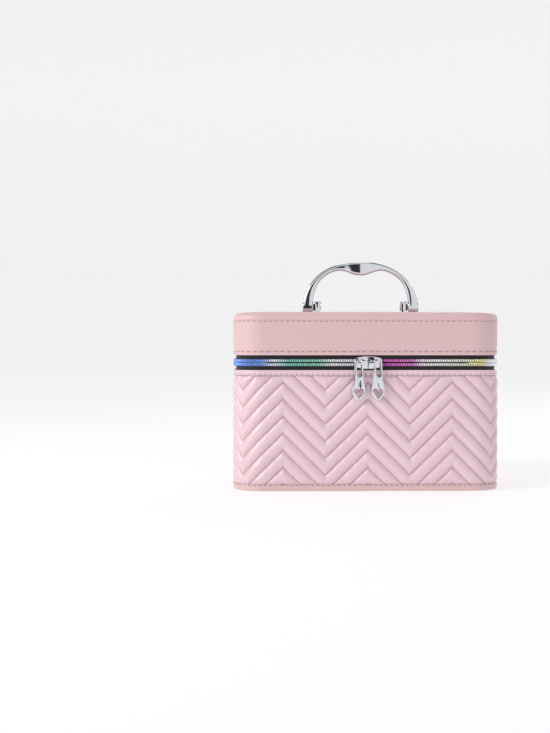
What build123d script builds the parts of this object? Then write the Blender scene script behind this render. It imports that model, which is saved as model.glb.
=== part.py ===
from build123d import *
import math
import os

os.makedirs("parts", exist_ok=True)

# A small zip-round makeup case: a quilted body, a padded lid on a leather hinge and a metal carry
# handle. Sizes are in millimetres. X runs across the case, the front faces -Y and Z is up. The
# origin is the middle of the base. Leather, tape and lining are placed by how far they stand out
# from the outside of the stiff board shell, so 0 is the board's face and negative is inside it.

# Board shell
board_width = 218.0
board_depth = 147.0
board_corner = 21.5
wall_board = 2.5
base_board_thickness = 3.0
top_board_thickness = 3.0
fit = 0.1

# Heights
body_height = 101.0
zip_gap = 12.3
lid_height = 36.7
base_leather = 1.5
base_rim = 5.5
base_rim_stand = 3.0
body_band = 3.0
lid_band = 3.8
cover_drop = 7.5

# Leather and lining
ridge = 3.5
groove = 1.2
row_pitch = 14.25
chevron_rise = 35.0
chevron_width = 35.4
seam_slope = 5.0
corner_facets = 6
band_stand = 2.8
lid_seam_stand = 2.4
cover_stand = 3.3
cover_round = 5.0
lid_crown = 1.0
crown_slope = 35.0
leather_edge = 0.8
lining = 1.2
lining_fold = 1.0
pad_thickness = 2.5

# Zip
tape_thickness = 0.9
tape_show = 3.2
coil_width = 6.0
coil_stand = 2.3
coil_slit = 0.8
zip_end_angle = 60.0

# Sliders and pulls
slider_length = 11.6
slider_nose = 10.2
slider_tail = 7.8
slider_plate = 1.2
slider_gap = 0.15
slider_wing = 8.0
wing_plate = 1.1
divider_thickness = 0.5
divider_length = 3.0
nose_gap = 0.2
bridge_foot = 8.0
bridge_toe = 1.9
bridge_post = 1.4
bridge_bar = 1.3
pull_thickness = 1.8
pull_play = 0.45
pull_wire = 1.9
pull_length = 31.4
pull_slot = 12.5
pull_waist = 13.0
pull_waist_width = 8.0
heart_height = 23.5
heart_width = 11.0
heart_lobe = 2.1
heart_rim = 1.4
pull_edge = 0.35
stem_groove = 1.4
stem_land = 0.8
stem_groove_depth = 0.4

# Carry handle
handle_span = 103.2
handle_rise = 45.0
handle_roundness = 2.25
leg_thickness = 9.3
leg_depth = 9.2
shoulder_thickness = 4.9
shoulder_depth = 7.0
grip_thickness = 12.3
grip_depth = 11.0
shoulder_angle = 54.0
grip_swell = 3.5
handle_bevel = 1.5
knuckle_bevel = 1.0
knuckle_stand = 0.5
knuckle_lift = 0.8

# Handle brackets
pin_radius = 1.6
pin_fit = 0.05
pin_reach = 6.0
pin_head = 2.6
pin_head_height = 0.9
washer_radius = 3.0
washer_thickness = 1.5
post_width = 4.1
post_depth = 9.0
post_height = 10.6
cap_width = 5.6
cap_depth = 10.4
cap_height = 2.0
cap_round = 0.8
foot_width = 6.0
foot_depth = 13.0
foot_height = 1.0
boss_radius = 3.0
screw_radius = 1.6
screw_bite = 5.0
screw_head = 3.6
screw_head_height = 2.2
screw_recess = 0.9
backing_width = 14.0
backing_depth = 20.0
backing_thickness = 1.2

# Heights that follow from them
quilt_top = body_height - body_band
lid_bottom = body_height + zip_gap
lid_top = lid_bottom + lid_height
lid_band_top = lid_bottom + lid_band
lid_seam = lid_top - cover_drop
zip_middle = body_height + zip_gap / 2
pivot_height = lid_top + knuckle_lift + leg_depth / 2

# Places that follow from them
front_run = board_width / 2 - board_corner
side_run = board_depth / 2 - board_corner
zip_end = side_run + board_corner * math.sin(math.radians(zip_end_angle))
lining_face = -wall_board - lining
coil_face = tape_thickness + coil_stand
knuckle_inside = handle_span / 2 - leg_thickness - knuckle_stand
washer_gap = washer_thickness + 2 * fit
post_middle = knuckle_inside - washer_gap - post_width / 2


def block(x, y, z):
    """A box between two values on each axis."""
    size = Box(x[1] - x[0], y[1] - y[0], z[1] - z[0])
    return Pos((x[0] + x[1]) / 2, (y[0] + y[1]) / 2, (z[0] + z[1]) / 2) * size


def plate(stand, low, high):
    """A slab with the board's outline moved out by stand, between two heights."""
    width = board_width + 2 * stand
    depth = board_depth + 2 * stand
    outline = RectangleRounded(width, depth, board_corner + stand)
    return Pos(0, 0, low) * extrude(outline, high - low)


def ring(inside, outside, low, high):
    """A wall that follows the board's outline."""
    return plate(outside, low, high) - plate(inside, low, high)


def flat_edges(solid, height):
    """The edges of a solid that lie at one height."""
    return [edge for edge in solid.edges() if abs(edge.bounding_box().min.Z - height) < 0.01
            and abs(edge.bounding_box().max.Z - height) < 0.01]


def outer_edges(solid, height, stand):
    """The edges at one height that follow the outside of a ring, not its inside."""
    reach = board_depth / 2 + stand - 0.01
    side = board_width / 2 + stand - 0.01
    corner = front_run + side_run + (board_corner + stand) * math.sqrt(2) - 0.01
    found = []
    for edge in flat_edges(solid, height):
        middle = edge.position_at(0.5)
        x, y = abs(middle.X), abs(middle.Y)
        if x > side or y > reach or x + y > corner:
            found.append(edge)
    return found


def along_x(radius, start, end, height):
    """A round bar along X at the pivot's depth, between two places."""
    low, high = min(start, end), max(start, end)
    return Pos((low + high) / 2, 0, height) * Rot(0, 90, 0) * Cylinder(radius, high - low)


def out(stand):
    """The Y of something that stands out from the middle of the front board."""
    return -board_depth / 2 - stand


# Body

def make_base_cover():
    """Leather under the base, turned up round the foot of the wall."""
    cover = plate(base_rim_stand, 0, base_rim) - plate(0, base_leather, base_rim)
    cover = chamfer(outer_edges(cover, 0, base_rim_stand), base_leather)
    return chamfer(outer_edges(cover, base_rim, base_rim_stand), leather_edge)


def make_base_board():
    low = base_leather
    return plate(-wall_board - fit, low, low + base_board_thickness)


def make_body_wall_board():
    return ring(-wall_board, 0, base_leather, body_height - lining_fold)


def wall_point(travel):
    """Where the board's face is, and which way it faces, after a run from the middle of the front."""
    arc = math.pi / 2 * (board_corner + (groove + ridge) / 2)
    if travel <= front_run:
        return travel, -board_depth / 2, 0.0, -1.0
    if travel <= front_run + arc:
        turn = (travel - front_run) / arc * math.pi / 2
        across, back = math.sin(turn), -math.cos(turn)
        return front_run + board_corner * across, board_corner * back - side_run, across, back
    return board_width / 2, travel - front_run - arc - side_run, 1.0, 0.0


def quilt_section(travel, fold, rows):
    """The quilted leather cut square to the wall: one sewn channel and one crown for each row."""
    x, y, across, back = wall_point(travel)

    def at(stand, height):
        return Vector(x + across * stand, y + back * stand, height)

    wave = fold % 2
    start = base_rim - row_pitch - chevron_rise * (wave if wave <= 1 else 2 - wave)
    seams = [start + row * row_pitch for row in range(rows + 1)]
    edges = []
    for low, high in zip(seams, seams[1:]):
        shoulder = (high - low) * 0.22
        crown = [at(groove, low), at(ridge - 0.5, low + shoulder), at(ridge, (low + high) / 2),
                 at(ridge - 0.5, high - shoulder), at(groove, high)]
        edges.extend(Line(a, b) for a, b in zip(crown, crown[1:]))
    edges.append(Line(at(groove, seams[-1]), at(-groove, seams[-1])))
    edges.append(Line(at(-groove, seams[-1]), at(-groove, seams[0])))
    edges.append(Line(at(-groove, seams[0]), at(groove, seams[0])))
    return make_face(Wire(edges))


def make_quilt_quarter():
    """Chevrons from the middle of the front, round the corner, to the middle of the side."""
    arc = math.pi / 2 * (board_corner + (groove + ridge) / 2)
    corner_middle = front_run + arc / 2
    side_length = side_run + arc / 2
    front_folds = max(1, round(corner_middle / chevron_width))
    side_folds = max(1, round(side_length / chevron_width))
    front_step = corner_middle / front_folds
    side_step = side_length / side_folds
    stops = [front_step * fold for fold in range(front_folds + 1)]
    stops += [corner_middle + side_step * (fold + 1) for fold in range(side_folds)]
    stops += [front_run + arc * facet / corner_facets for facet in range(corner_facets + 1)]
    rows = math.ceil((quilt_top - base_rim + chevron_rise) / row_pitch) + 2
    sections = []
    last = -1.0
    for travel in sorted(stops):
        if travel - last < 0.01:
            continue
        last = travel
        fold = travel / front_step
        if travel > corner_middle:
            fold = front_folds + (travel - corner_middle) / side_step
        sections.append(quilt_section(travel, fold, rows))
    return loft(sections, ruled=True)


def make_quilted_skin():
    """The quilted leather, pressed down to its sewn seams, with the plain band at its top edge."""
    quarter = make_quilt_quarter()
    half = quarter + mirror(quarter, Plane.YZ)
    quilt = half + mirror(half, Plane.XZ)
    outline = RectangleRounded(board_width + 2 * groove, board_depth + 2 * groove, board_corner + groove)
    lean = -math.degrees(math.atan((ridge - groove + 0.1) / seam_slope))
    rise = extrude(outline, seam_slope, taper=lean)
    envelope = plate(ridge + 0.1, base_rim + seam_slope, quilt_top - seam_slope)
    envelope += Pos(0, 0, base_rim) * rise
    envelope += Pos(0, 0, quilt_top) * mirror(rise, Plane.XY)
    band = ring(tape_thickness, band_stand, quilt_top, body_height)
    band = chamfer(outer_edges(band, body_height, band_stand), leather_edge)
    band = chamfer(outer_edges(band, quilt_top, band_stand), leather_edge)
    return (quilt & envelope) - plate(0, 0, lid_top) + band


def make_body_lining():
    """Fabric glued inside the wall and turned over its top edge."""
    floor = base_leather + base_board_thickness
    wall = ring(lining_face, -wall_board, floor, body_height)
    return wall + ring(-wall_board, 0, body_height - lining_fold, body_height)


def make_base_lining_pad():
    """A thin padded floor inside the body."""
    floor = base_leather + base_board_thickness
    pad = plate(lining_face - fit, floor, floor + pad_thickness)
    return chamfer(flat_edges(pad, floor + pad_thickness), lining)


# Zip and hinge

def zip_run(part):
    """The part of a ring that runs round the front and both sides."""
    reach = board_width + board_depth
    return part & block((-reach, reach), (-reach, zip_end), (0, lid_top))


def hinge_run(part):
    """The part of a ring that is left at the back, between the ends of the zip."""
    reach = board_width + board_depth
    return part & block((-reach, reach), (zip_end + fit, reach), (0, lid_top))


def make_lower_zip_tape():
    return zip_run(ring(0, tape_thickness, quilt_top, zip_middle - coil_slit / 2))


def make_upper_zip_tape():
    return zip_run(ring(0, tape_thickness, zip_middle + coil_slit / 2, lid_band_top))


def coil(low, high):
    """One side of the zip's coil, rounded where it turns, run along the tape."""
    band = ring(tape_thickness, coil_face, low, high)
    band = chamfer(outer_edges(band, low, coil_face), coil_slit)
    band = chamfer(outer_edges(band, high, coil_face), coil_slit)
    return zip_run(band)


def make_lower_zip_teeth():
    return coil(zip_middle - coil_width / 2, zip_middle - coil_slit / 2)


def make_upper_zip_teeth():
    return coil(zip_middle + coil_slit / 2, zip_middle + coil_width / 2)


def make_hinge_strip():
    """The leather that joins the lid to the body at the back, sewn in where the zip stops."""
    return hinge_run(ring(0, tape_thickness, quilt_top, lid_band_top))


def make_hinge_lining():
    """The lining fabric behind the leather hinge."""
    return hinge_run(ring(-tape_thickness, 0, body_height, lid_bottom))


# Lid

def make_lid_wall_board():
    return ring(-wall_board, 0, lid_bottom + lining_fold, lid_seam)


def make_lid_top_board():
    board = plate(0, lid_seam, lid_seam + top_board_thickness)
    return board - boss_holes()


def make_lid_side_skin():
    """Padded leather round the lid: a turned band at its edge, a sewn line and a soft panel."""
    middle = (lid_band_top + lid_seam) / 2
    outline = [(0, lid_band_top), (lid_seam_stand, lid_band_top), (lid_seam_stand, lid_seam), (0, lid_seam)]
    places = [Vector(0, out(stand), height) for stand, height in outline]
    panel = [
        Line(places[0], places[1]),
        ThreePointArc(places[1], Vector(0, out(ridge), middle), places[2]),
        Line(places[2], places[3]),
        Line(places[3], places[0]),
    ]
    path = Pos(0, 0, lid_band_top) * RectangleRounded(board_width, board_depth, board_corner).wire()
    skin = sweep(make_face(Wire(panel)), path=path)
    band = ring(tape_thickness, band_stand, lid_bottom, lid_band_top)
    band = chamfer(outer_edges(band, lid_bottom, band_stand), leather_edge)
    band = chamfer(outer_edges(band, lid_band_top, band_stand), leather_edge)
    return skin + band


def make_lid_top_cover():
    """The padded top, slightly crowned, rolled over the edge and down to the side's seam."""
    shoulder = lid_top - lid_crown
    cover = plate(cover_stand, lid_seam, shoulder)
    cover = fillet(outer_edges(cover, shoulder, cover_stand), cover_round)
    cover = chamfer(outer_edges(cover, lid_seam, cover_stand), leather_edge)
    inset = cover_round - cover_stand
    rim = RectangleRounded(board_width - 2 * inset, board_depth - 2 * inset, board_corner - inset)
    inset += crown_slope
    peak = RectangleRounded(board_width - 2 * inset, board_depth - 2 * inset, board_corner / 2)
    cover += loft([Pos(0, 0, shoulder) * rim, Pos(0, 0, lid_top) * peak], ruled=True)
    return cover - plate(0, lid_seam, lid_seam + top_board_thickness) - boss_holes()


def make_lid_lining():
    """Fabric inside the lid: its walls, its ceiling and the turned edge."""
    wall = ring(lining_face, -wall_board, lid_bottom, lid_seam)
    edge = ring(-wall_board, 0, lid_bottom, lid_bottom + lining_fold)
    ceiling = plate(-wall_board, lid_seam - lining, lid_seam)
    return wall + edge + ceiling - screw_holes()


def boss_holes():
    """Holes through the lid for the two bracket bosses."""
    hole = Cylinder(boss_radius + fit, lid_height)
    return [Pos(side * post_middle, 0, lid_top) * hole for side in (-1, 1)]


def screw_holes():
    """Holes through the lining for the two bracket screws."""
    hole = Cylinder(screw_radius + fit, lid_height)
    return [Pos(side * post_middle, 0, lid_top) * hole for side in (-1, 1)]


# Handle

def handle_blend(turn):
    """How much of the leg's, the shoulder's and the grip's size the handle has at an angle."""
    if turn < shoulder_angle:
        leg = math.cos(math.radians(turn / shoulder_angle * 90)) ** 2
        return leg, 1 - leg, 0.0
    grip = math.sin(math.radians((turn - shoulder_angle) / (90 - shoulder_angle) * 90)) ** grip_swell
    return 0.0, 1 - grip, grip


def handle_section(turn, side):
    """A bevelled section square to the handle's outer curve, a superellipse seen from the front."""
    share = 2 / handle_roundness
    across = math.cos(math.radians(turn)) ** share if turn < 90 else 0.0
    up = math.sin(math.radians(turn)) ** share
    normal = Vector(side * across ** (handle_roundness - 1) * handle_rise, 0,
                    up ** (handle_roundness - 1) * handle_span / 2).normalized()
    foot = lid_top + knuckle_lift
    outer = Vector(side * handle_span / 2 * across, 0, foot + handle_rise * up)
    leg, shoulder, grip = handle_blend(turn)
    thick = leg * leg_thickness + shoulder * shoulder_thickness + grip * grip_thickness
    deep = leg * leg_depth + shoulder * shoulder_depth + grip * grip_depth
    low, high = handle_bevel, thick - handle_bevel
    near, flat = deep / 2, deep / 2 - handle_bevel
    corners = [(low, -near), (high, -near), (thick, -flat), (thick, flat),
               (high, near), (low, near), (0, flat), (0, -flat)]
    points = [outer - normal * inward + Vector(0, back, 0) for inward, back in corners]
    return make_face(Wire([Line(a, b) for a, b in zip(points, points[1:] + points[:1])]))


def make_carry_handle():
    """A cast bail: bevelled legs, slim shoulders and a swollen grip, with round knuckles to pivot on."""
    start = math.degrees(math.asin((leg_depth / 2 / handle_rise) ** (handle_roundness / 2)))
    turns = [start, 14, 30, 44, 56, 67, 78]
    left = [handle_section(turn, -1) for turn in turns]
    right = [handle_section(turn, 1) for turn in reversed(turns)]
    handle = loft(left + [handle_section(90, 1)] + right)
    for side in (-1, 1):
        inside = side * knuckle_inside
        outside = side * handle_span / 2
        knuckle = along_x(leg_depth / 2, inside, outside, pivot_height)
        knuckle = chamfer(knuckle.edges().filter_by(GeomType.CIRCLE), knuckle_bevel)
        handle += knuckle
        handle -= along_x(pin_radius + pin_fit, inside - side, inside + side * pin_reach, pivot_height)
    return handle


def make_bracket(side):
    """A post with a flat cap and an oblong foot, and a boss that passes through the lid's top."""
    top = lid_top + post_height
    post = block((-post_width / 2, post_width / 2), (-post_depth / 2, post_depth / 2),
                 (lid_top, top - cap_height))
    cap = block((-cap_width / 2, cap_width / 2), (-cap_depth / 2, cap_depth / 2), (top - cap_height, top))
    cap = chamfer(cap.edges().filter_by(Axis.Z), cap_round)
    cap = chamfer(flat_edges(cap, top), cap_round / 2)
    foot = Pos(0, 0, lid_top) * extrude(SlotOverall(foot_depth, foot_width, rotation=90), foot_height)
    foot = chamfer(flat_edges(foot, lid_top + foot_height), foot_height / 2)
    boss = Pos(0, 0, (lid_top + lid_seam) / 2) * Cylinder(boss_radius, lid_top - lid_seam)
    bracket = Pos(side * post_middle, 0, 0) * (post + cap + foot + boss)
    bore = Pos(side * post_middle, 0, lid_seam) * Cylinder(screw_radius + pin_fit, 2 * screw_bite)
    pin_hole = along_x(pin_radius + pin_fit, side * (post_middle - cap_width),
                       side * (post_middle + cap_width), pivot_height)
    return bracket - bore - pin_hole


def make_pivot_pin(side):
    """A headed pin through the bracket and the washer into the handle's leg."""
    inner = post_middle - post_width / 2
    end = knuckle_inside + pin_reach - fit
    shank = along_x(pin_radius, side * inner, side * end, pivot_height)
    head = along_x(pin_head, side * (inner - pin_head_height), side * inner, pivot_height)
    rim = head.edges().filter_by(GeomType.CIRCLE).sort_by(Axis.X)[0 if side > 0 else -1]
    return shank + chamfer(rim, pin_head_height / 2)


def make_pivot_washer(side):
    """A black plastic washer that keeps the leg off the bracket."""
    start = side * (knuckle_inside - washer_gap + fit)
    end = side * (knuckle_inside - fit)
    ring_part = along_x(washer_radius, start, end, pivot_height)
    return ring_part - along_x(pin_radius + pin_fit, start - side, end + side, pivot_height)


def make_bracket_screws():
    """Two pan-head screws with cross recesses, up through the backing plates into the bosses."""
    under = lid_seam - lining - backing_thickness
    tip = lid_seam + screw_bite - fit
    shank = Pos(0, 0, (under + tip) / 2) * Cylinder(screw_radius, tip - under)
    head = Pos(0, 0, under - screw_head_height / 2) * Cylinder(screw_head, screw_head_height)
    head = chamfer(flat_edges(head, under - screw_head_height), screw_head_height / 2)
    slot = Pos(0, 0, under - screw_head_height) * Box(screw_head, screw_recess, 2 * screw_recess)
    screw = shank + head - slot - Rot(0, 0, 90) * slot
    return [Pos(side * post_middle, 0, 0) * screw for side in (-1, 1)]


def make_backing_plates():
    """Two steel plates that spread each screw's load over the lid's board."""
    top = lid_seam - lining
    outline = RectangleRounded(backing_width, backing_depth, screw_head)
    piece = Pos(0, 0, top - backing_thickness) * extrude(outline, backing_thickness)
    hole = Pos(0, 0, top) * Cylinder(screw_radius + fit, 4 * backing_thickness)
    return [Pos(side * post_middle, 0, 0) * (piece - hole) for side in (-1, 1)]


# Sliders and pulls, modelled for the right-hand side with X running out from the closed middle

def slider_outline():
    """The slider's plate seen from the front: broad at the nose and narrow at the tail."""
    nose, tail = slider_nose / 2, slider_tail / 2
    bend = divider_length + nose_gap
    corners = [(nose_gap, -nose), (bend, -nose), (slider_length, -tail),
               (slider_length, tail), (bend, nose), (nose_gap, nose)]
    face = make_face(Polyline(corners, close=True))
    return fillet(face.vertices().group_by(Axis.X)[-1], slider_tail / 3)


def upright(sketch, stand, depth):
    """A sketch of X across and Y up, stood on the zip's front and thickened outwards."""
    plane = Plane(origin=(0, out(stand), zip_middle), x_dir=(1, 0, 0), z_dir=(0, -1, 0))
    return plane * extrude(sketch, depth)


def make_slider():
    """Front plate with its wings round the coil, back plate, divider and the bridge for the pull."""
    front_low = coil_face + slider_gap
    front_high = front_low + slider_plate
    plate_front = upright(slider_outline(), front_low, slider_plate)
    plate_front = chamfer(plate_front.faces().sort_by(Axis.Y)[0].edges(), pull_edge)
    wing_in = coil_width / 2 + slider_gap
    wing_out = wing_in + wing_plate
    wing_y = (out(front_low), out(tape_thickness + slider_gap))
    wings = [block((nose_gap, slider_wing + nose_gap), wing_y,
                   (zip_middle + min(side * wing_in, side * wing_out),
                    zip_middle + max(side * wing_in, side * wing_out))) for side in (-1, 1)]
    back = upright(slider_outline() & Rectangle(3 * slider_length, 2 * wing_out), -slider_gap - slider_plate,
                   slider_plate)
    divider = block((nose_gap, divider_length), (out(front_low), out(-slider_gap)),
                    (zip_middle - divider_thickness / 2, zip_middle + divider_thickness / 2))
    tall = pull_thickness + 2 * pull_play
    foot = upright(Pos(bridge_foot, 0) * Circle(bridge_post), front_high, tall)
    toe = upright(Pos(bridge_toe, 0) * Rectangle(bridge_post, 2 * bridge_post), front_high, tall)
    length = bridge_foot - bridge_toe
    bar_outline = Pos((bridge_foot + bridge_toe) / 2, 0) * SlotOverall(length + 2 * bridge_post, 2 * bridge_post)
    bar = upright(bar_outline, front_high + tall, bridge_bar)
    bar = chamfer(bar.faces().sort_by(Axis.Y)[0].edges(), pull_edge)
    slider = plate_front + wings + back + divider + foot + toe + bar
    return slider


def heart_window():
    """The heart-shaped opening: two round lobes above a straight-sided point."""
    lobe_out = heart_width / 2 - heart_rim - heart_lobe
    fall = pull_length - heart_rim - heart_height
    reach = math.hypot(lobe_out, fall)
    lean = math.atan2(lobe_out, fall) + math.asin(heart_lobe / reach)
    run = math.sqrt(reach**2 - heart_lobe**2)
    touch = (run * math.sin(lean), run * math.cos(lean) - fall - heart_height)
    tip = (0, -fall - heart_height)
    lobes = [Pos(side * lobe_out, -heart_height) * Circle(heart_lobe) for side in (-1, 1)]
    point = make_face(Polyline(tip, touch, (0, -heart_height), (-touch[0], touch[1]), close=True))
    return lobes[0] + lobes[1] + point


def pull_outline():
    """The pull from the front: a loop at the top, a widening stem and a heart with its point down."""
    top = bridge_post + fit + pull_wire
    waist = (pull_waist_width / 2, -pull_waist)
    hip = (heart_width / 2, -heart_height)
    flank = (heart_width * 0.39, -heart_height - (pull_length - heart_height) * 0.52)
    tip = (pull_edge, -pull_length)
    right = [
        RadiusArc((0, top), (top, 0), top),
        Line((top, 0), waist),
        Bezier(waist, (waist[0] + pull_edge, -pull_waist - 4), (hip[0], -heart_height + 4), hip),
        ThreePointArc(hip, flank, tip),
        Line(tip, (0, -pull_length)),
        Line((0, -pull_length), (0, top)),
    ]
    side = make_face(Wire(right))
    return side + mirror(side, Plane.YZ)


def make_pull():
    """A cast pull with a slot that hangs on the bridge's round post."""
    stand = coil_face + slider_gap + slider_plate + pull_play
    eye = bridge_post + fit
    body = upright(pull_outline(), stand, pull_thickness)
    low_eye = eye + pull_edge
    slot_low = pull_wire + eye - pull_slot
    corners = [(eye, 0), (low_eye, slot_low), (0, -pull_slot), (-low_eye, slot_low), (-eye, 0)]
    slot = Circle(eye) + make_face(Polyline(corners, close=True))
    window = heart_window()
    groove_high = pull_slot + stem_land
    groove_low = heart_height - heart_lobe - stem_land
    groove_cut = Pos(0, -(groove_high + groove_low) / 2) * Rectangle(stem_groove, groove_low - groove_high)
    cuts = upright(slot, stand - 1, pull_thickness + 2)
    cuts += upright(window, stand - 1, pull_thickness + 2)
    cuts += upright(groove_cut, stand + pull_thickness - stem_groove_depth, 1)
    return Pos(bridge_foot, 0, 0) * (body - cuts)


def pieces():
    """Every sub-part by its name."""
    slider = make_slider()
    pull = make_pull()
    made = {
        "base_cover": make_base_cover(),
        "base_board": make_base_board(),
        "body_wall_board": make_body_wall_board(),
        "quilted_skin": make_quilted_skin(),
        "body_lining": make_body_lining(),
        "base_lining_pad": make_base_lining_pad(),
        "lower_zip_tape": make_lower_zip_tape(),
        "lower_zip_teeth": make_lower_zip_teeth(),
        "hinge_strip": make_hinge_strip(),
        "hinge_lining": make_hinge_lining(),
        "upper_zip_tape": make_upper_zip_tape(),
        "upper_zip_teeth": make_upper_zip_teeth(),
        "lid_wall_board": make_lid_wall_board(),
        "lid_top_board": make_lid_top_board(),
        "lid_side_skin": make_lid_side_skin(),
        "lid_top_cover": make_lid_top_cover(),
        "lid_lining": make_lid_lining(),
        "bracket_screws": make_bracket_screws(),
        "backing_plates": make_backing_plates(),
        "carry_handle": make_carry_handle(),
        "slider_left": mirror(slider, Plane.YZ),
        "slider_right": slider,
        "pull_left": mirror(pull, Plane.YZ),
        "pull_right": pull,
    }
    for name, side in (("left", -1), ("right", 1)):
        made["bracket_" + name] = make_bracket(side)
        made["pivot_pin_" + name] = make_pivot_pin(side)
        made["pivot_washer_" + name] = make_pivot_washer(side)
    return made


for node, shape in pieces().items():
    solids = shape if isinstance(shape, list) else shape.solids()
    whole = solids[0] if len(solids) == 1 else Compound(children=list(solids))
    export_step(whole, f"parts/{node}.step")
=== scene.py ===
import math

import bmesh
import bpy
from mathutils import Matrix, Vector


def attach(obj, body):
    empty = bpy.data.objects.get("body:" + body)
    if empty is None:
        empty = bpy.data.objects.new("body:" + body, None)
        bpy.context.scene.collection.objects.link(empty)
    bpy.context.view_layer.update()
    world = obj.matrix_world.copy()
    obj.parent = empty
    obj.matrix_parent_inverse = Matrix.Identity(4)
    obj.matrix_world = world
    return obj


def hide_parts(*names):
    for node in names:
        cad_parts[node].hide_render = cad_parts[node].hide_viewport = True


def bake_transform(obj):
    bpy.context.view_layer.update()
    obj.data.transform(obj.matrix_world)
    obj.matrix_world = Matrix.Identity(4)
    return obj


# A small makeup case with a handle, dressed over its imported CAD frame. Shapes are worked out in
# millimetres. "Stand" is how far something stands out from the outside of the board shell, and
# "run" is how far round the shell it lies, from the middle of the front.

bl_info = {
    "name": "Makeup case with handle",
    "version": (1, 0, 0),
    "blender": (4, 5, 0),
    "location": "View3D > Sidebar > Makeup case",
    "description": "Builds a quilted makeup case with its zip, chrome handle and stage",
    "category": "Object",
}

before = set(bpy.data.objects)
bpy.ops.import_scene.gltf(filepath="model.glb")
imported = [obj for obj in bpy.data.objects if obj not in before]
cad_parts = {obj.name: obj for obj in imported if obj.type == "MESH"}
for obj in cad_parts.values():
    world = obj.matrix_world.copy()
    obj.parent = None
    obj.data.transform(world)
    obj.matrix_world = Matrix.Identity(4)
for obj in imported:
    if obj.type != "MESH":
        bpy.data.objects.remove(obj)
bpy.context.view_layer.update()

MM = 0.001
BOARD_WIDTH, BOARD_DEPTH, BOARD_CORNER, WALL_BOARD = 218.0, 147.0, 21.5, 2.5
BASE_RIM, QUILT_TOP, TAPE_LOW, BODY_TOP = 5.5, 96.4, 98.0, 101.0
LID_BOTTOM, LID_BAND_TOP, LID_SEAM = 113.3, 117.1, 142.5
ZIP_MIDDLE, ZIP_END_ANGLE = 107.15, 60.0
TAPE, COIL_FACE = 0.9, 3.2
BAND_STAND, RIM_STAND, COVER_STAND = 2.8, 3.0, 3.3
LINING_FACE = -3.7
MIDDLE_RING = -19.0  # the innermost ring of a skin that closes over the middle

# Quilting
GROOVE, CROWN_STEPS, EDGE_REACH, THREAD_STAND = 0.7, 12, 5.5, 0.95
FRONT_FOLDS, SIDE_FOLDS, CHEVRON_STITCH = 3, 2, 3.4

# The sliders' dividers run between the two rows of teeth, out to this reach from the middle
DIVIDER_REACH, DIVIDER_ROOM = 84.0, 0.32

FRONT_RUN = BOARD_WIDTH / 2 - BOARD_CORNER
SIDE_RUN = BOARD_DEPTH / 2 - BOARD_CORNER
QUILT_MIDDLE_STAND = 2.35
CORNER_RUN = math.pi / 2 * (BOARD_CORNER + QUILT_MIDDLE_STAND)
CORNER_MIDDLE = FRONT_RUN + CORNER_RUN / 2
QUARTER = FRONT_RUN + CORNER_RUN + SIDE_RUN
ZIP_RUN = 2 * QUARTER - FRONT_RUN - CORNER_RUN * (90 - ZIP_END_ANGLE) / 90

HANDLE_HALF, HANDLE_RISE, HANDLE_ROUND = 51.6, 45.0, 2.25
HANDLE_FOOT, LEG_DEPTH, LEG_THICK = 150.8, 9.2, 9.3
PIVOT = HANDLE_FOOT + LEG_DEPTH / 2
SHOULDER_THICK, SHOULDER_DEPTH, GRIP_THICK, GRIP_DEPTH = 4.9, 7.0, 12.3, 11.0
SHOULDER_ANGLE, GRIP_SWELL, HANDLE_EDGE, HANDLE_STEPS, KNUCKLE_SQUARE = 54, 4.6, 2.4, 96, 3.1


# Following the outline

def wall(run):
    """Place and outward direction on the front right quarter of the shell."""
    if run <= FRONT_RUN:
        return run, -BOARD_DEPTH / 2, 0.0, -1.0
    if run <= FRONT_RUN + CORNER_RUN:
        turn = (run - FRONT_RUN) / CORNER_RUN * math.pi / 2
        across, back = math.sin(turn), -math.cos(turn)
        return FRONT_RUN + BOARD_CORNER * across, BOARD_CORNER * back - SIDE_RUN, across, back
    return BOARD_WIDTH / 2, run - FRONT_RUN - CORNER_RUN - SIDE_RUN, 1.0, 0.0


def fold_back(run):
    """The same run measured on the front right quarter, and the signs that bring it back."""
    run = run % (4 * QUARTER)
    turn = min(3, int(run / QUARTER))
    rest = run - turn * QUARTER
    local = rest if turn in (0, 2) else QUARTER - rest
    return local, 1 if turn < 2 else -1, 1 if turn in (0, 3) else -1


def facing(run):
    """Place on the board's face and outward direction at any run."""
    local, side, front = fold_back(run)
    x, y, across, back = wall(local)
    return x * side, y * front, across * side, back * front


def at(run, stand, height):
    x, y, across, back = facing(run)
    return Vector((x + across * stand, y + back * stand, height))


def spaced(start, end, step):
    count = max(1, round((end - start) / step))
    return [start + (end - start) * i / count for i in range(count)]


def folds():
    """The start and the end of each slope of the chevrons, on a quarter."""
    front, side = CORNER_MIDDLE / FRONT_FOLDS, (QUARTER - CORNER_MIDDLE) / SIDE_FOLDS
    made = [(front * i, front * (i + 1)) for i in range(FRONT_FOLDS)]
    return made + [(CORNER_MIDDLE + side * i, CORNER_MIDDLE + side * (i + 1)) for i in range(SIDE_FOLDS)]


def loop_runs(step):
    """Runs all the way round, with one at each fold of the chevrons and at each corner's ends."""
    stops = [0.0] + [high for _, high in folds()]
    stops = sorted(stops + [FRONT_RUN, FRONT_RUN + CORNER_RUN])
    quarter = []
    for low, high in zip(stops, stops[1:]):
        quarter += spaced(low, high, step)
    runs = quarter + [2 * QUARTER - run for run in reversed(quarter[1:] + [QUARTER])]
    return runs + [2 * QUARTER + run for run in runs]


def span_runs(start, end, step):
    return spaced(start, end, step) + [end]


# Making meshes

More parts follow.
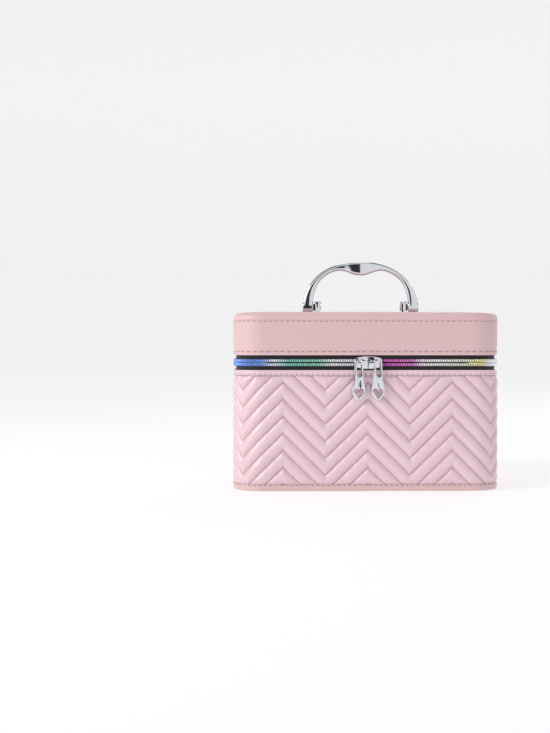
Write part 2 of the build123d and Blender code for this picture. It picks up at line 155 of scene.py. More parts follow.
def build(name, points, faces, angle=40.0):
    """A clean mesh object with outward faces, from points in millimetres."""
    mesh = bpy.data.meshes.new(name)
    mesh.from_pydata([(p[0] * MM, p[1] * MM, p[2] * MM) for p in points], [], faces)
    obj = bpy.data.objects.new(name, mesh)
    bpy.context.collection.objects.link(obj)
    clean(obj, 1e-6)
    return smooth(obj, angle)


def clean(obj, distance):
    work = bmesh.new()
    work.from_mesh(obj.data)
    bmesh.ops.remove_doubles(work, verts=work.verts, dist=distance)
    bmesh.ops.dissolve_degenerate(work, edges=work.edges, dist=distance)
    bmesh.ops.recalc_face_normals(work, faces=work.faces)
    work.to_mesh(obj.data)
    work.free()


def pick(obj):
    bpy.ops.object.select_all(action="DESELECT")
    obj.select_set(True)
    bpy.context.view_layer.objects.active = obj


def smooth(obj, angle):
    pick(obj)
    bpy.ops.object.shade_smooth_by_angle(angle=math.radians(angle))
    return obj


def sweep(name, runs, outline, closed=True, angle=40.0):
    """A band round the shell. outline(run) gives its section as a closed loop of (stand, height)."""
    points, faces = [], []
    for run in runs:
        points += [at(run, stand, height) for stand, height in outline(run)]
    size = len(points) // len(runs)
    last = len(runs) if closed else len(runs) - 1
    for i in range(last):
        a, b = i * size, (i + 1) % len(runs) * size
        for j in range(size):
            k = (j + 1) % size
            faces.append((a + j, a + k, b + k, b + j))
    if not closed:
        faces.append(tuple(range(size)))
        faces.append(tuple(range(len(points) - size, len(points))))
    return build(name, points, faces, angle)


def shell(name, runs, path, angle=40.0):
    """A skin round the shell that closes over the middle at both ends of its path."""
    points = [at(run, stand, height) for stand, height in path for run in runs]
    count = len(runs)
    faces = [tuple(range(count)), tuple(range(len(points) - count, len(points)))]
    for i in range(len(path) - 1):
        a, b = i * count, (i + 1) * count
        for j in range(count):
            k = (j + 1) % count
            faces.append((a + j, a + k, b + k, b + j))
    return build(name, points, faces, angle)


def rounded(corners, radius, steps=3):
    """A closed section with its corners rounded, each corner cut by at most radius."""
    made = []
    for i, corner in enumerate(corners):
        here = Vector(corner)
        before, after = Vector(corners[i - 1]) - here, Vector(corners[(i + 1) % len(corners)]) - here
        cut = min(radius, before.length / 2, after.length / 2)
        start, end = here + before.normalized() * cut, here + after.normalized() * cut
        for j in range(steps + 1):
            t = j / steps
            made.append(tuple(start * (1 - t) ** 2 + here * 2 * t * (1 - t) + end * t * t))
    return made


def box_section(low_stand, high_stand, low, high, radius):
    return rounded([(low_stand, low), (high_stand, low), (high_stand, high), (low_stand, high)], radius)


def capsule(points, faces, start, end, across, out, sides=6):
    """Adds a short rounded bar, with across and out as its half widths."""
    first = len(points)
    for share, size in ((0, 0.45), (0.14, 0.9), (0.5, 1.0), (0.86, 0.9), (1, 0.45)):
        middle = start.lerp(end, share)
        for i in range(sides):
            turn = math.tau * i / sides
            points.append(middle + (across * math.cos(turn) + out * math.sin(turn)) * size)
    for ring in range(4):
        for i in range(sides):
            a, b = first + ring * sides + i, first + ring * sides + (i + 1) % sides
            faces.append((a, b, b + sides, a + sides))
    faces.append(tuple(range(first, first + sides)))
    faces.append(tuple(range(first + 4 * sides, first + 5 * sides)))


def stitch_row(points, faces, start, end, stand, height, pitch, radius):
    """Adds one level row of thread dashes between two runs."""
    count = round((end - start) / pitch)
    for i in range(count):
        middle = start + (end - start) * (i + 0.5) / count
        a, b = at(middle - pitch * 0.24, stand, height), at(middle + pitch * 0.24, stand, height)
        _, _, x, y = facing(middle)
        capsule(points, faces, a, b, Vector((0, 0, radius)), Vector((x, y, 0)) * radius)


# Materials

def linear(code):
    """A colour from its sRGB hex code."""
    values = [int(code[i:i + 2], 16) / 255 for i in (1, 3, 5)]
    return [v / 12.92 if v <= 0.04045 else ((v + 0.055) / 1.055) ** 2.4 for v in values] + [1.0]


def colour(value):
    return (*value, 1.0)


def add(tree, kind, inputs=None, **settings):
    """Adds a node. Inputs are constants, or sockets to join."""
    node = tree.nodes.new(kind)
    for key, value in settings.items():
        setattr(node, key, value)
    for key, value in (inputs or {}).items():
        if isinstance(value, bpy.types.NodeSocket):
            tree.links.new(value, node.inputs[key])
        else:
            node.inputs[key].default_value = value
    return node


def material(name, **constants):
    """A Principled material with its constants set on the shader. Returns it, its tree and shader."""
    made = bpy.data.materials.new(name)
    made.use_nodes = True
    shader = made.node_tree.nodes["Principled BSDF"]
    for key, value in constants.items():
        shader.inputs[key.replace("_", " ")].default_value = value
    return made, made.node_tree, shader


def bump(tree, shader, height, strength, distance):
    made = add(tree, "ShaderNodeBump", {"Height": height, "Strength": strength, "Distance": distance})
    tree.links.new(made.outputs["Normal"], shader.inputs["Normal"])


def place(tree):
    return add(tree, "ShaderNodeTexCoord").outputs["Object"]


def leather(name, tone, shade, roughness, sheen, coat, grain):
    """Coated PU: fine pebble grain breaks the highlight, and a slow drift of tone keeps it from
    looking like paint."""
    made, tree, shader = material(name, Roughness=roughness, Coat_Weight=coat, Coat_Roughness=0.32,
                                  Sheen_Weight=sheen, Sheen_Roughness=0.35)
    shader.inputs["Sheen Tint"].default_value = linear("#FFEAF4")
    where = place(tree)
    drift = add(tree, "ShaderNodeTexNoise", {"Vector": where, "Scale": 28.0, "Detail": 3.0})
    mixed = add(tree, "ShaderNodeMix", {"Factor": drift.outputs["Fac"], "A": shade, "B": tone},
                data_type="RGBA")
    tree.links.new(mixed.outputs[2], shader.inputs["Base Color"])
    pebble = add(tree, "ShaderNodeTexVoronoi", {"Vector": where, "Scale": grain}, feature="SMOOTH_F1")
    bump(tree, shader, pebble.outputs["Distance"], 0.22, 0.00022)
    return made


def woven_tape():
    """Woven polyester tape: rows of ribs across the tape give it a dull, corded look."""
    made, tree, shader = material("black_woven_tape", Roughness=0.82, Sheen_Weight=0.25)
    shader.inputs["Base Color"].default_value = linear("#19151B")
    wave = add(tree, "ShaderNodeTexWave", {"Vector": place(tree), "Scale": 420.0, "Distortion": 0.6},
               bands_direction="Z")
    bump(tree, shader, wave.outputs["Fac"], 0.5, 0.0002)
    return made


def iridescent_coil():
    """Plated nylon coil: the plating's colour drifts through blue, green, silver, magenta and gold
    along the zip."""
    made, tree, shader = material("iridescent_coil", Metallic=0.55, Roughness=0.25)
    axes = add(tree, "ShaderNodeSeparateXYZ", {"Vector": place(tree)})
    depth = add(tree, "ShaderNodeMath", {0: axes.outputs["Y"], 1: 0.9}, operation="MULTIPLY")
    along = add(tree, "ShaderNodeMath", {0: depth.outputs[0], 1: 0.0676}, operation="ADD")
    total = add(tree, "ShaderNodeMath", {0: axes.outputs["X"], 1: along.outputs[0]}, operation="ADD")
    shifted = add(tree, "ShaderNodeMapRange",
                  {"Value": total.outputs[0], "From Min": -0.113, "From Max": 0.113})
    folded = add(tree, "ShaderNodeMath", {0: shifted.outputs[0], 1: 1.0}, operation="PINGPONG")
    ramp = add(tree, "ShaderNodeValToRGB", {"Fac": folded.outputs[0]})
    stops = [(0.0, "#7598E6"), (0.1, "#86AAEC"), (0.15, "#E6E9F4"), (0.2, "#86CFC4"), (0.31, "#9CD2BC"),
             (0.36, "#E8E8EC"), (0.45, "#DCDAE4"), (0.56, "#D673C6"), (0.66, "#D68ACB"), (0.7, "#EDEBF0"),
             (0.86, "#E2E2D6"), (0.91, "#DCD893"), (0.97, "#F0EEF2")]
    band = ramp.color_ramp.elements
    while len(band) < len(stops):
        band.new(0.5)
    for element, (where, code) in zip(band, stops):
        element.position, element.color = where, linear(code)
    tree.links.new(ramp.outputs["Color"], shader.inputs["Base Color"])
    return made


def chrome(tone):
    """Polished, plated zinc: a faint orange-peel from casting keeps the reflections alive."""
    made, tree, shader = material("polished_chrome", Metallic=1.0, Roughness=0.07)
    shader.inputs["Base Color"].default_value = tone
    noise = add(tree, "ShaderNodeTexNoise", {"Vector": place(tree), "Scale": 260.0, "Detail": 2.0})
    bump(tree, shader, noise.outputs["Fac"], 0.05, 0.0001)
    return made


def fabric():
    """Brushed lining: soft pile noise and sheen give it a velvety edge."""
    made, tree, shader = material("brushed_lining", Roughness=0.95, Sheen_Weight=0.6, Sheen_Roughness=0.5)
    shader.inputs["Base Color"].default_value = linear("#D9B8BE")
    noise = add(tree, "ShaderNodeTexNoise", {"Vector": place(tree), "Scale": 1500.0, "Detail": 4.0})
    bump(tree, shader, noise.outputs["Fac"], 0.4, 0.0003)
    return made


def plain(name, code, roughness, metallic, scale, strength):
    """A simple body colour with fine noise: paper fibre, rolled steel or moulded nylon."""
    made, tree, shader = material(name, Roughness=roughness, Metallic=metallic)
    shader.inputs["Base Color"].default_value = linear(code)
    noise = add(tree, "ShaderNodeTexNoise", {"Vector": place(tree), "Scale": scale, "Detail": 4.0})
    bump(tree, shader, noise.outputs["Fac"], strength, 0.0002)
    return made


def dress(obj, name, *, slot=None):
    """Gives a piece its material; its slot argument is not used."""
    obj.data.materials.clear()
    obj.data.materials.append(bpy.data.materials[name])
    return obj


def place_piece(obj, body, name, slot, *nodes):
    """Finishes a made piece: its material and the body that it rides on."""
    dress(obj, name, slot=slot)
    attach(obj, body)
    if nodes:
        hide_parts(*nodes)
    return obj


# Sizes and colours that a user would change

class CaseLeather(bpy.types.PropertyGroup):
    row_pitch: bpy.props.FloatProperty(
        name="Row pitch", description="Height between two sewn channels", default=0.01425,
        min=0.008, max=0.03, unit="LENGTH", subtype="DISTANCE")
    chevron_rise: bpy.props.FloatProperty(
        name="Chevron rise", description="Height of one chevron", default=0.035,
        min=0.01, max=0.06, unit="LENGTH", subtype="DISTANCE")
    ridge: bpy.props.FloatProperty(
        name="Ridge", description="How far the quilting stands out", default=0.0036,
        min=0.002, max=0.0038, unit="LENGTH", subtype="DISTANCE")
    body_tone: bpy.props.FloatVectorProperty(
        name="Body colour", description="The quilted leather", default=linear("#E8CAD2")[:3],
        size=3, min=0, max=1, subtype="COLOR")
    lid_tone: bpy.props.FloatVectorProperty(
        name="Lid colour", description="The smooth leather", default=linear("#D9B8BA")[:3],
        size=3, min=0, max=1, subtype="COLOR")


class CaseTrim(bpy.types.PropertyGroup):
    stitch: bpy.props.FloatProperty(
        name="Stitch", description="Length from one stitch to the next on the seams", default=0.0044,
        min=0.003, max=0.008, unit="LENGTH", subtype="DISTANCE")
    tooth_pitch: bpy.props.FloatProperty(
        name="Tooth pitch", description="Length from one tooth of the zip to the next", default=0.0015,
        min=0.001, max=0.003, unit="LENGTH", subtype="DISTANCE")
    metal_tone: bpy.props.FloatVectorProperty(
        name="Metal colour", description="The plated metal", default=linear("#DCDFE4")[:3],
        size=3, min=0, max=1, subtype="COLOR")


# Pieces

class CASE_OT_materials(bpy.types.Operator):
    """Makes every material"""
    bl_idname = "case.materials"
    bl_label = "Materials"

    def execute(self, context):
        skin, trim = context.scene.case_leather, context.scene.case_trim
        body, lid = skin.body_tone, skin.lid_tone
        leather("pearl_leather", colour(body), colour([v * 0.88 for v in body]), 0.33, 0.4, 0.42, 1500.0)
        leather("satin_leather", colour(lid), colour([v * 0.95 for v in lid]), 0.44, 0.2, 0.12, 1900.0)
        woven_tape()
        iridescent_coil()
        chrome(colour(trim.metal_tone))
        fabric()
        plain("pressed_board", "#B9A68C", 0.9, 0.0, 900.0, 0.4)
        plain("plated_steel", "#B9BCC0", 0.34, 1.0, 700.0, 0.1)
        plain("black_nylon", "#1C1C1F", 0.5, 0.0, 800.0, 0.1)
        plain("rose_thread", "#A27F8B", 0.6, 0.0, 3000.0, 0.3)
        plain("pink_thread", "#D9B4BD", 0.6, 0.0, 3000.0, 0.3)
        for node, (name, slot) in {
            "base_board": ("pressed_board", "board"), "body_wall_board": ("pressed_board", "board"),
            "lid_wall_board": ("pressed_board", "board"), "lid_top_board": ("pressed_board", "board"),
            "bracket_screws": ("plated_steel", "plated_steel"),
            "backing_plates": ("plated_steel", "plated_steel"),
            "pivot_pin_left": ("polished_chrome", "chrome_zinc"),
            "pivot_pin_right": ("polished_chrome", "chrome_zinc"),
            "pivot_washer_left": ("black_nylon", "washer_plastic"),
            "pivot_washer_right": ("black_nylon", "washer_plastic"),
        }.items():
            dress(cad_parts[node], name, slot=slot)
        return {"FINISHED"}


def chevron_start(local, skin):
    """Height of the lowest channel at a place on the quarter."""
    if local <= CORNER_MIDDLE:
        fold = local / (CORNER_MIDDLE / FRONT_FOLDS)
    else:
        fold = FRONT_FOLDS + (local - CORNER_MIDDLE) / ((QUARTER - CORNER_MIDDLE) / SIDE_FOLDS)
    wave = fold % 2
    wave = wave if wave <= 1 else 2 - wave
    return BASE_RIM - skin.row_pitch / MM - skin.chevron_rise / MM * wave


class CASE_OT_quilt(bpy.types.Operator):
    """Makes the chevron-quilted leather of the body"""
    bl_idname = "case.quilt"
    bl_label = "Quilted skin"

    def execute(self, context):
        skin = context.scene.case_leather
        pitch, depth = skin.row_pitch / MM, skin.ridge / MM - GROOVE
        rows = math.ceil((QUILT_TOP - BASE_RIM + skin.chevron_rise / MM) / pitch) + 2

        def section(run):
            start = chevron_start(fold_back(run)[0], skin)
            made = []
            for row in range(rows):
                for step in range(CROWN_STEPS):
                    share = (1 - math.cos(math.pi * step / CROWN_STEPS)) / 2
                    height = min(QUILT_TOP, max(BASE_RIM, start + (row + share) * pitch))
                    puff = (4 * share * (1 - share)) ** 0.72
                    pucker = 0.09 * math.sin(run * math.tau / 7.1 + row * 2.4) * (1 - puff) * puff ** 0.5 * 4
                    edge = min(height - BASE_RIM, QUILT_TOP - height)
                    limit = depth * min(1.0, 0.12 + edge / EDGE_REACH) ** 0.55
                    made.append((GROOVE + min(limit, max(0.0, depth * puff + pucker)), height))
            return made + [(GROOVE, QUILT_TOP), (0.0, QUILT_TOP), (0.0, BASE_RIM), (GROOVE, BASE_RIM)]

        quilt = sweep("quilted_leather_skin", loop_runs(1.3), section, angle=75.0)
        place_piece(quilt, "case_body", "pearl_leather", "quilted_leather", "quilted_skin")
        loop = loop_runs(2.0)
        band = sweep("body_top_band", loop,
                     lambda run: box_section(TAPE + 0.02, BAND_STAND, QUILT_TOP, BODY_TOP, 0.7))
        place_piece(band, "case_body", "pearl_leather", "smooth_leather")
        return {"FINISHED"}


class CASE_OT_stitches(bpy.types.Operator):
    """Sews the chevron channels and the level rows at the seams"""
    bl_idname = "case.stitches"
    bl_label = "Stitches"

    def execute(self, context):
        skin, trim = context.scene.case_leather, context.scene.case_trim
        pitch, rise = skin.row_pitch / MM, skin.chevron_rise / MM
        rows = math.ceil((QUILT_TOP - BASE_RIM + rise) / pitch) + 2
        points, faces = [], []
        for turn in range(4):
            for low, high in folds():
                count = round(math.hypot(high - low, rise) / CHEVRON_STITCH)
                for row in range(rows + 1):
                    for i in range(count):
                        ends = []
                        for share in ((i + 0.16) / count, (i + 0.84) / count):
                            local = low + (high - low) * share
                            height = chevron_start(local, skin) + row * pitch
                            run = turn * QUARTER + (local if turn in (0, 2) else QUARTER - local)
                            ends.append((run, height))
                        if min(e[1] for e in ends) < BASE_RIM + 1 or max(e[1] for e in ends) > QUILT_TOP - 1:
                            continue
                        a, b = (at(run, THREAD_STAND, height) for run, height in ends)
                        _, _, x, y = facing(ends[0][0])
                        outward = Vector((x, y, 0))
                        across = (b - a).normalized().cross(outward)
                        capsule(points, faces, a, b, across * 0.27, outward * 0.27)
        quilted = build("chevron_stitches", points, faces, 60.0)
        place_piece(quilted, "case_body", "pink_thread", "quilted_leather")
        step = trim.stitch / MM
        points, faces = [], []
        stitch_row(points, faces, 0, 4 * QUARTER, BAND_STAND, 97.6, step, 0.32)
        stitch_row(points, faces, 0, 4 * QUARTER, RIM_STAND - 0.05, 4.7, step, 0.32)
        place_piece(build("body_band_stitches", points, faces, 60.0), "case_body", "rose_thread",
                    "smooth_leather")
        points, faces = [], []
        stitch_row(points, faces, 0, 4 * QUARTER, 3.02, 116.3, step * 1.3, 0.36)
        stitch_row(points, faces, 0, 4 * QUARTER, 3.22, 141.6, step * 1.05, 0.34)
        place_piece(build("lid_stitches", points, faces, 60.0), "lid", "rose_thread", "smooth_leather")
        return {"FINISHED"}


class CASE_OT_base(bpy.types.Operator):
    """Makes the leather under the base and round its foot"""
    bl_idname = "case.base"
    bl_label = "Base"

    def execute(self, context):
        path = [(MIDDLE_RING, 0.0), (1.4, 0.0), (2.2, 0.2), (2.8, 0.8), (3.0, 1.6), (3.0, 4.5), (2.8, 5.2),
                (2.3, 5.5), (0.0, 5.5), (0.0, 1.5), (MIDDLE_RING, 1.5)]
        cover = shell("base_leather", loop_runs(2.0), path)
        place_piece(cover, "case_body", "satin_leather", "smooth_leather", "base_cover")
        return {"FINISHED"}


class CASE_OT_zip(bpy.types.Operator):
    """Makes the tapes and the coil's teeth"""
    bl_idname = "case.zip"
    bl_label = "Zip"

    def execute(self, context):
        runs = span_runs(-ZIP_RUN, ZIP_RUN, 2.0)
        pitch = context.scene.case_trim.tooth_pitch / MM
        for name, body, tape, coil, shift in (
            ("lower", "case_body", (TAPE_LOW, 106.75), (104.15, 107.2), 0.25),
            ("upper", "lid", (107.55, LID_BAND_TOP), (107.1, 110.15), 0.75),
        ):
            strip = sweep(name + "_tape", runs, lambda run: box_section(0.0, TAPE, *tape, 0.15), closed=False)
            place_piece(strip, body, "black_woven_tape", "zip_tape", name + "_zip_tape")
            points, faces = [], []
            count = int(2 * (ZIP_RUN - 1) / pitch)
            for i in range(count):
                run = -ZIP_RUN + 1 + (i + shift) * pitch
                _, _, x, y = facing(run)
                middle = (TAPE + COIL_FACE) / 2
                low, high = coil
                if abs(run) < DIVIDER_REACH and name == "lower":
                    high = ZIP_MIDDLE - DIVIDER_ROOM
                elif abs(run) < DIVIDER_REACH:
                    low = ZIP_MIDDLE + DIVIDER_ROOM
                capsule(points, faces, at(run, middle, low), at(run, middle, high),
                        Vector((-y, x, 0)) * pitch * 0.44, Vector((x, y, 0)) * 1.12, 8)
            teeth = build(name + "_coil", points, faces, 60.0)
            place_piece(teeth, body, "iridescent_coil", "zip_coil", name + "_zip_teeth")
        return {"FINISHED"}


class CASE_OT_hinge(bpy.types.Operator):
    """Makes the leather hinge at the back and the fabric behind it"""
    bl_idname = "case.hinge"
    bl_label = "Hinge"

    def execute(self, context):
        runs = span_runs(ZIP_RUN + 0.2, 4 * QUARTER - ZIP_RUN - 0.2, 3.0)
        for name, node, low, high, inner, outer, finish, slot in (
            ("hinge_leather", "hinge_strip", TAPE_LOW, LID_BAND_TOP, 0.0, TAPE, "satin_leather",
             "smooth_leather"),
            ("hinge_fabric", "hinge_lining", BODY_TOP, LID_BOTTOM, -TAPE, 0.0, "brushed_lining",
             "lining_fabric"),
        ):
            heights = [low + (high - low) * i / 20 for i in range(21)]
            loop = [(outer, h) for h in heights] + [(inner, h) for h in reversed(heights)]
            strip = dress(sweep(name, runs, lambda run: loop, closed=False), finish, slot=slot)
            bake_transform(strip)
            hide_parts(node)
        return {"FINISHED"}


class CASE_OT_lining(bpy.types.Operator):
    """Makes the fabric inside the body and the lid, and the padded floor"""
    bl_idname = "case.lining"
    bl_label = "Lining"

    def execute(self, context):
        loop = loop_runs(2.5)
        inside = [(LINING_FACE, 4.5), (LINING_FACE, 100.4), (LINING_FACE + 0.6, BODY_TOP), (-0.4, BODY_TOP),
                  (0.0, 100.6), (0.0, 100.0), (-WALL_BOARD, 100.0), (-WALL_BOARD, 4.5)]
        walls = sweep("body_fabric", loop, lambda run: inside)
        place_piece(walls, "case_body", "brushed_lining", "lining_fabric", "body_lining")
        pad = [(MIDDLE_RING, 4.5), (-3.9, 4.5), (-3.8, 5.4), (-4.6, 6.4), (-6.5, 7.0), (MIDDLE_RING, 7.0)]
        floor = shell("floor_pad", loop, pad)
        place_piece(floor, "case_body", "brushed_lining", "lining_fabric", "base_lining_pad")
        lid = [(MIDDLE_RING, LID_SEAM), (-WALL_BOARD, LID_SEAM), (-WALL_BOARD, 114.3), (0.0, 114.3),
               (-0.4, LID_BOTTOM), (LINING_FACE + 0.6, LID_BOTTOM), (LINING_FACE, 113.9),
               (LINING_FACE, 141.3), (MIDDLE_RING, 141.3)]
        ceiling = shell("lid_fabric", loop, lid)
        place_piece(ceiling, "lid", "brushed_lining", "lining_fabric", "lid_lining")
        return {"FINISHED"}


class CASE_OT_lid(bpy.types.Operator):
    """Makes the lid's side panel and its padded top"""
    bl_idname = "case.lid"
    bl_label = "Lid"

    def execute(self, context):
        runs = loop_runs(2.0)
        rise = LID_SEAM - LID_BAND_TOP
        side = [(0.0, LID_BAND_TOP)]
        for i in range(17):
            share = i / 16
            side.append((2.85 + 0.35 * share + 0.3 * math.sin(math.pi * share), LID_BAND_TOP + rise * share))
        side.append((0.0, LID_SEAM))
        panel = sweep("lid_side_panel", runs, lambda run: side, angle=70.0)
        place_piece(panel, "lid", "satin_leather", "smooth_leather", "lid_side_skin")
        band = sweep("lid_band", runs,
                     lambda run: box_section(TAPE + 0.02, 2.85, LID_BOTTOM, LID_BAND_TOP, 0.35))
        place_piece(band, "lid", "satin_leather", "smooth_leather")
        path = [(0.0, 142.55), (3.05, 142.55), (3.2, 142.75), (COVER_STAND, 143.2), (COVER_STAND, 144.2)]
        for i in range(1, 9):
            turn = math.pi / 2 * i / 8
            path.append((COVER_STAND - 5.0 * (1 - math.cos(turn)), 144.1 + 4.9 * math.sin(turn)))
        for i in range(1, 9):
            share = i / 8
            path.append((-1.7 - 17.3 * share, 149.0 + math.sin(math.pi / 2 * share)))
        top = shell("lid_padded_top", runs, [(MIDDLE_RING, 145.5), (0.0, 145.5)] + path, angle=60.0)
        place_piece(top, "lid", "satin_leather", "smooth_leather", "lid_top_cover")
        return {"FINISHED"}


def handle_size(turn):
    """Thickness and depth of the handle at an angle up from its foot."""
    if turn < SHOULDER_ANGLE:
        share = math.cos(math.radians(turn / SHOULDER_ANGLE * 90)) ** 2
        thick, deep = LEG_THICK, LEG_DEPTH
    else:
        share = math.sin(math.radians((turn - SHOULDER_ANGLE) / (90 - SHOULDER_ANGLE) * 90)) ** GRIP_SWELL
        thick, deep = GRIP_THICK, GRIP_DEPTH
    return share * thick + (1 - share) * SHOULDER_THICK, share * deep + (1 - share) * SHOULDER_DEPTH


class CASE_OT_handle(bpy.types.Operator):
    """Makes the cast carry handle with its two knuckles"""
    bl_idname = "case.handle"
    bl_label = "Handle"

    def execute(self, context):
        start = math.degrees(math.asin((LEG_DEPTH / 2 / HANDLE_RISE) ** (HANDLE_ROUND / 2)))
        turns = [start + (180 - 2 * start) * i / HANDLE_STEPS for i in range(HANDLE_STEPS + 1)]
        points, faces = [], []
        for turn in turns:
            side = -1 if turn < 90 else 1
            lean = min(turn, 180 - turn)
            across = max(0.0, math.cos(math.radians(lean))) ** (2 / HANDLE_ROUND)
            up = math.sin(math.radians(lean)) ** (2 / HANDLE_ROUND)
            normal = Vector((side * across ** (HANDLE_ROUND - 1) * HANDLE_RISE, 0,
                             up ** (HANDLE_ROUND - 1) * HANDLE_HALF)).normalized()
            outer = Vector((side * HANDLE_HALF * across, 0, HANDLE_FOOT + HANDLE_RISE * up))
            thick, deep = handle_size(lean)
            corners = [(0.0, -deep / 2), (thick, -deep / 2), (thick, deep / 2), (0.0, deep / 2)]
            section = rounded(corners, HANDLE_EDGE, 5)
            points += [outer - normal * inward + Vector((0, back, 0)) for inward, back in section]
        size = len(points) // len(turns)
        for i in range(len(turns) - 1):
            for j in range(size):
                k = (j + 1) % size
                faces.append((i * size + j, i * size + k, (i + 1) * size + k, (i + 1) * size + j))
        faces += [tuple(range(size)), tuple(range(len(points) - size, len(points)))]
        bail = build("chrome_handle", points, faces, 50.0)
        for side in (-1, 1):
            points, faces, count = [], [], 64
            for x in (HANDLE_HALF - LEG_THICK, HANDLE_HALF):
                for i in range(count):
                    turn = math.tau * i / count
                    y, z = (math.copysign(abs(v) ** (2 / KNUCKLE_SQUARE), v)
                            for v in (math.cos(turn), math.sin(turn)))
                    points.append((side * x, y * LEG_DEPTH / 2, PIVOT + z * LEG_DEPTH / 2))
            faces = [(i, (i + 1) % count, count + (i + 1) % count, count + i) for i in range(count)]
            faces += [tuple(range(count)), tuple(range(count, 2 * count))]
            knuckle = build("handle_knuckle_" + ("left" if side < 0 else "right"), points, faces)
            bevelled(knuckle, 0.9, 3)
            place_piece(knuckle, "handle", "polished_chrome", "chrome_zinc")
        place_piece(bail, "handle", "polished_chrome", "chrome_zinc", "carry_handle")
        return {"FINISHED"}


def bevelled(obj, width, segments):
    """Rounds a piece's sharp edges, as casting and polishing do."""
    pick(obj)
    bevel = obj.modifiers.new("edge", "BEVEL")
    bevel.width, bevel.segments, bevel.limit_method = width * MM, segments, "ANGLE"
    bevel.angle_limit = math.radians(35)
    bpy.ops.object.modifier_apply(modifier=bevel.name)
    return smooth(obj, 40.0)


class CASE_OT_hardware(bpy.types.Operator):
    """Makes the polished sliders, pulls and brackets from their frame shapes"""
    bl_idname = "case.hardware"
    bl_label = "Hardware"

    def execute(self, context):
        for side in ("left", "right"):
            for part, body, width in (("slider_", "slider_" + side + "_body", 0.16),
                                      ("pull_", "pull_" + side + "_body", 0.22), ("bracket_", "lid", 0.18)):
                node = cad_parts[part + side]
                copy = bpy.data.objects.new("chrome_" + part + side, node.data.copy())
                bpy.context.collection.objects.link(copy)
                work = bmesh.new()
                work.from_mesh(copy.data)
                bmesh.ops.remove_doubles(work, verts=work.verts, dist=1e-6)
                bmesh.ops.dissolve_limit(work, angle_limit=math.radians(2), verts=work.verts,
                                         edges=work.edges)
                work.to_mesh(copy.data)
                work.free()
                bevelled(copy, width, 2)
                place_piece(copy, body, "polished_chrome", "chrome_zinc", part + side)
        return {"FINISHED"}


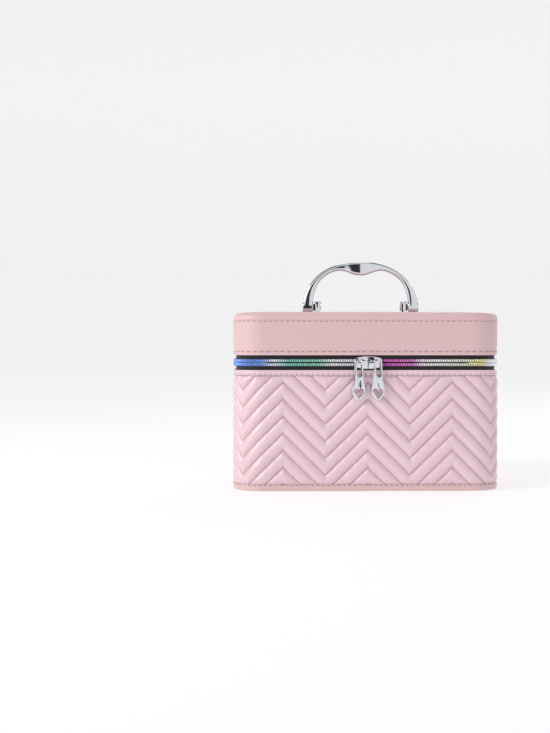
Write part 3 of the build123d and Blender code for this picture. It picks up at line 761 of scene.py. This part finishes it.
class CASE_OT_stage(bpy.types.Operator):
    """Makes the pale floor, the lights and the camera"""
    bl_idname = "case.stage"
    bl_label = "Stage"

    def execute(self, context):
        scene = context.scene
        scene.view_settings.view_transform = "Standard"
        world = bpy.data.worlds.new("soft_room")
        scene.world = world
        world.use_nodes = True
        world.node_tree.nodes["Background"].inputs["Color"].default_value = linear("#F2F0F2")
        world.node_tree.nodes["Background"].inputs["Strength"].default_value = 0.32
        profile = [(0.0, 0.0), (1500.0, 0.0), (2200.0, 60.0), (2700.0, 320.0),
                   (2900.0, 900.0), (2950.0, 2400.0)]
        points, faces = [], []
        for radius, height in profile:
            for i in range(64):
                turn = math.tau * i / 64
                points.append(Vector((radius * math.cos(turn), radius * math.sin(turn), height)))
        for ring in range(len(profile) - 1):
            for i in range(64):
                k = (i + 1) % 64
                faces.append((ring * 64 + i, ring * 64 + k, ring * 64 + 64 + k, ring * 64 + 64 + i))
        bowl = build("pale_floor", points, faces, 80.0)
        _, _, shader = material("white_paper", Roughness=0.9)
        shader.inputs["Base Color"].default_value = linear("#B0AFB0")
        shader.inputs["Emission Color"].default_value = linear("#FFFFFF")
        shader.inputs["Emission Strength"].default_value = 0.58
        dress(bowl, "white_paper")
        _, _, shader = material("grey_card", Roughness=0.9)
        shader.inputs["Base Color"].default_value = linear("#26262B")
        for name, where, wide, tall, turn in (
            ("dark_card", (-0.12, -1.75, 0.34), 0.5, 0.68, 0),
            ("left_card", (-1.15, 0.1, 0.4), 0.35, 0.9, 90),
            ("right_card", (1.15, 0.1, 0.4), 0.35, 0.9, 90),
        ):
            bpy.ops.mesh.primitive_plane_add(size=1.0)
            card = context.active_object
            card.name = name
            card.scale = (wide, tall, 1.0)
            card.rotation_euler = (math.pi / 2, 0, math.radians(turn))
            card.location = where
            dress(card, "grey_card")
            card.visible_camera = card.visible_shadow = card.visible_diffuse = False
        for name, where, size, power, tint in (
            ("key", (-1.35, -0.7, 0.8), 0.6, 12.5, "#FFFDFB"),
            ("fill", (1.3, -0.9, 0.6), 0.9, 0.4, "#F5F7FF"),
            ("top", (0.0, 0.15, 1.6), 0.8, 4.0, "#FFFFFF"), ("rim", (0.7, 1.3, 1.0), 0.8, 3.0, "#FFFFFF"),
        ):
            lamp = bpy.data.lights.new(name, "AREA")
            lamp.size, lamp.energy, lamp.color = size, power, linear(tint)[:3]
            holder = bpy.data.objects.new(name + "_light", lamp)
            holder.location = where
            holder.rotation_euler = (Vector((0, 0, 0.08)) - Vector(where)).to_track_quat("-Z", "Y").to_euler()
            holder.visible_camera = False
            context.collection.objects.link(holder)
        camera = bpy.data.cameras.new("camera")
        camera.lens, camera.sensor_width, camera.clip_end = 66.1, 36.0, 20.0
        eye = bpy.data.objects.new("camera", camera)
        azimuth, yaw, pitch = math.radians(-4.92), math.radians(-1.3), math.radians(-0.82)
        eye.location = (1.2 * math.sin(azimuth), -1.2 * math.cos(azimuth), 0.12)
        look = Vector((-math.sin(yaw) * math.cos(pitch), math.cos(yaw) * math.cos(pitch), math.sin(pitch)))
        eye.rotation_euler = look.to_track_quat("-Z", "Y").to_euler()
        context.collection.objects.link(eye)
        scene.camera = eye
        return {"FINISHED"}


STEPS = (CASE_OT_materials, CASE_OT_base, CASE_OT_quilt, CASE_OT_stitches, CASE_OT_lining, CASE_OT_zip,
         CASE_OT_hinge, CASE_OT_lid, CASE_OT_handle, CASE_OT_hardware, CASE_OT_stage)


class CASE_PT_panel(bpy.types.Panel):
    """Lists the sizes, the colours and the steps"""
    bl_idname = "CASE_PT_panel"
    bl_label = "Makeup case"
    bl_space_type = "VIEW_3D"
    bl_region_type = "UI"
    bl_category = "Makeup case"

    def draw(self, context):
        for group in (context.scene.case_leather, context.scene.case_trim):
            for key in group.__annotations__:
                self.layout.prop(group, key)
        for step in STEPS:
            self.layout.operator(step.bl_idname)


CLASSES = (CaseLeather, CaseTrim, *STEPS, CASE_PT_panel)


def register():
    for made in CLASSES:
        bpy.utils.register_class(made)
    bpy.types.Scene.case_leather = bpy.props.PointerProperty(type=CaseLeather)
    bpy.types.Scene.case_trim = bpy.props.PointerProperty(type=CaseTrim)


def unregister():
    del bpy.types.Scene.case_trim
    del bpy.types.Scene.case_leather
    for made in reversed(CLASSES):
        bpy.utils.unregister_class(made)


def main():
    register()
    for step in STEPS:
        group, name = step.bl_idname.split(".")
        getattr(getattr(bpy.ops, group), name)()


if __name__ == "__main__":
    main()
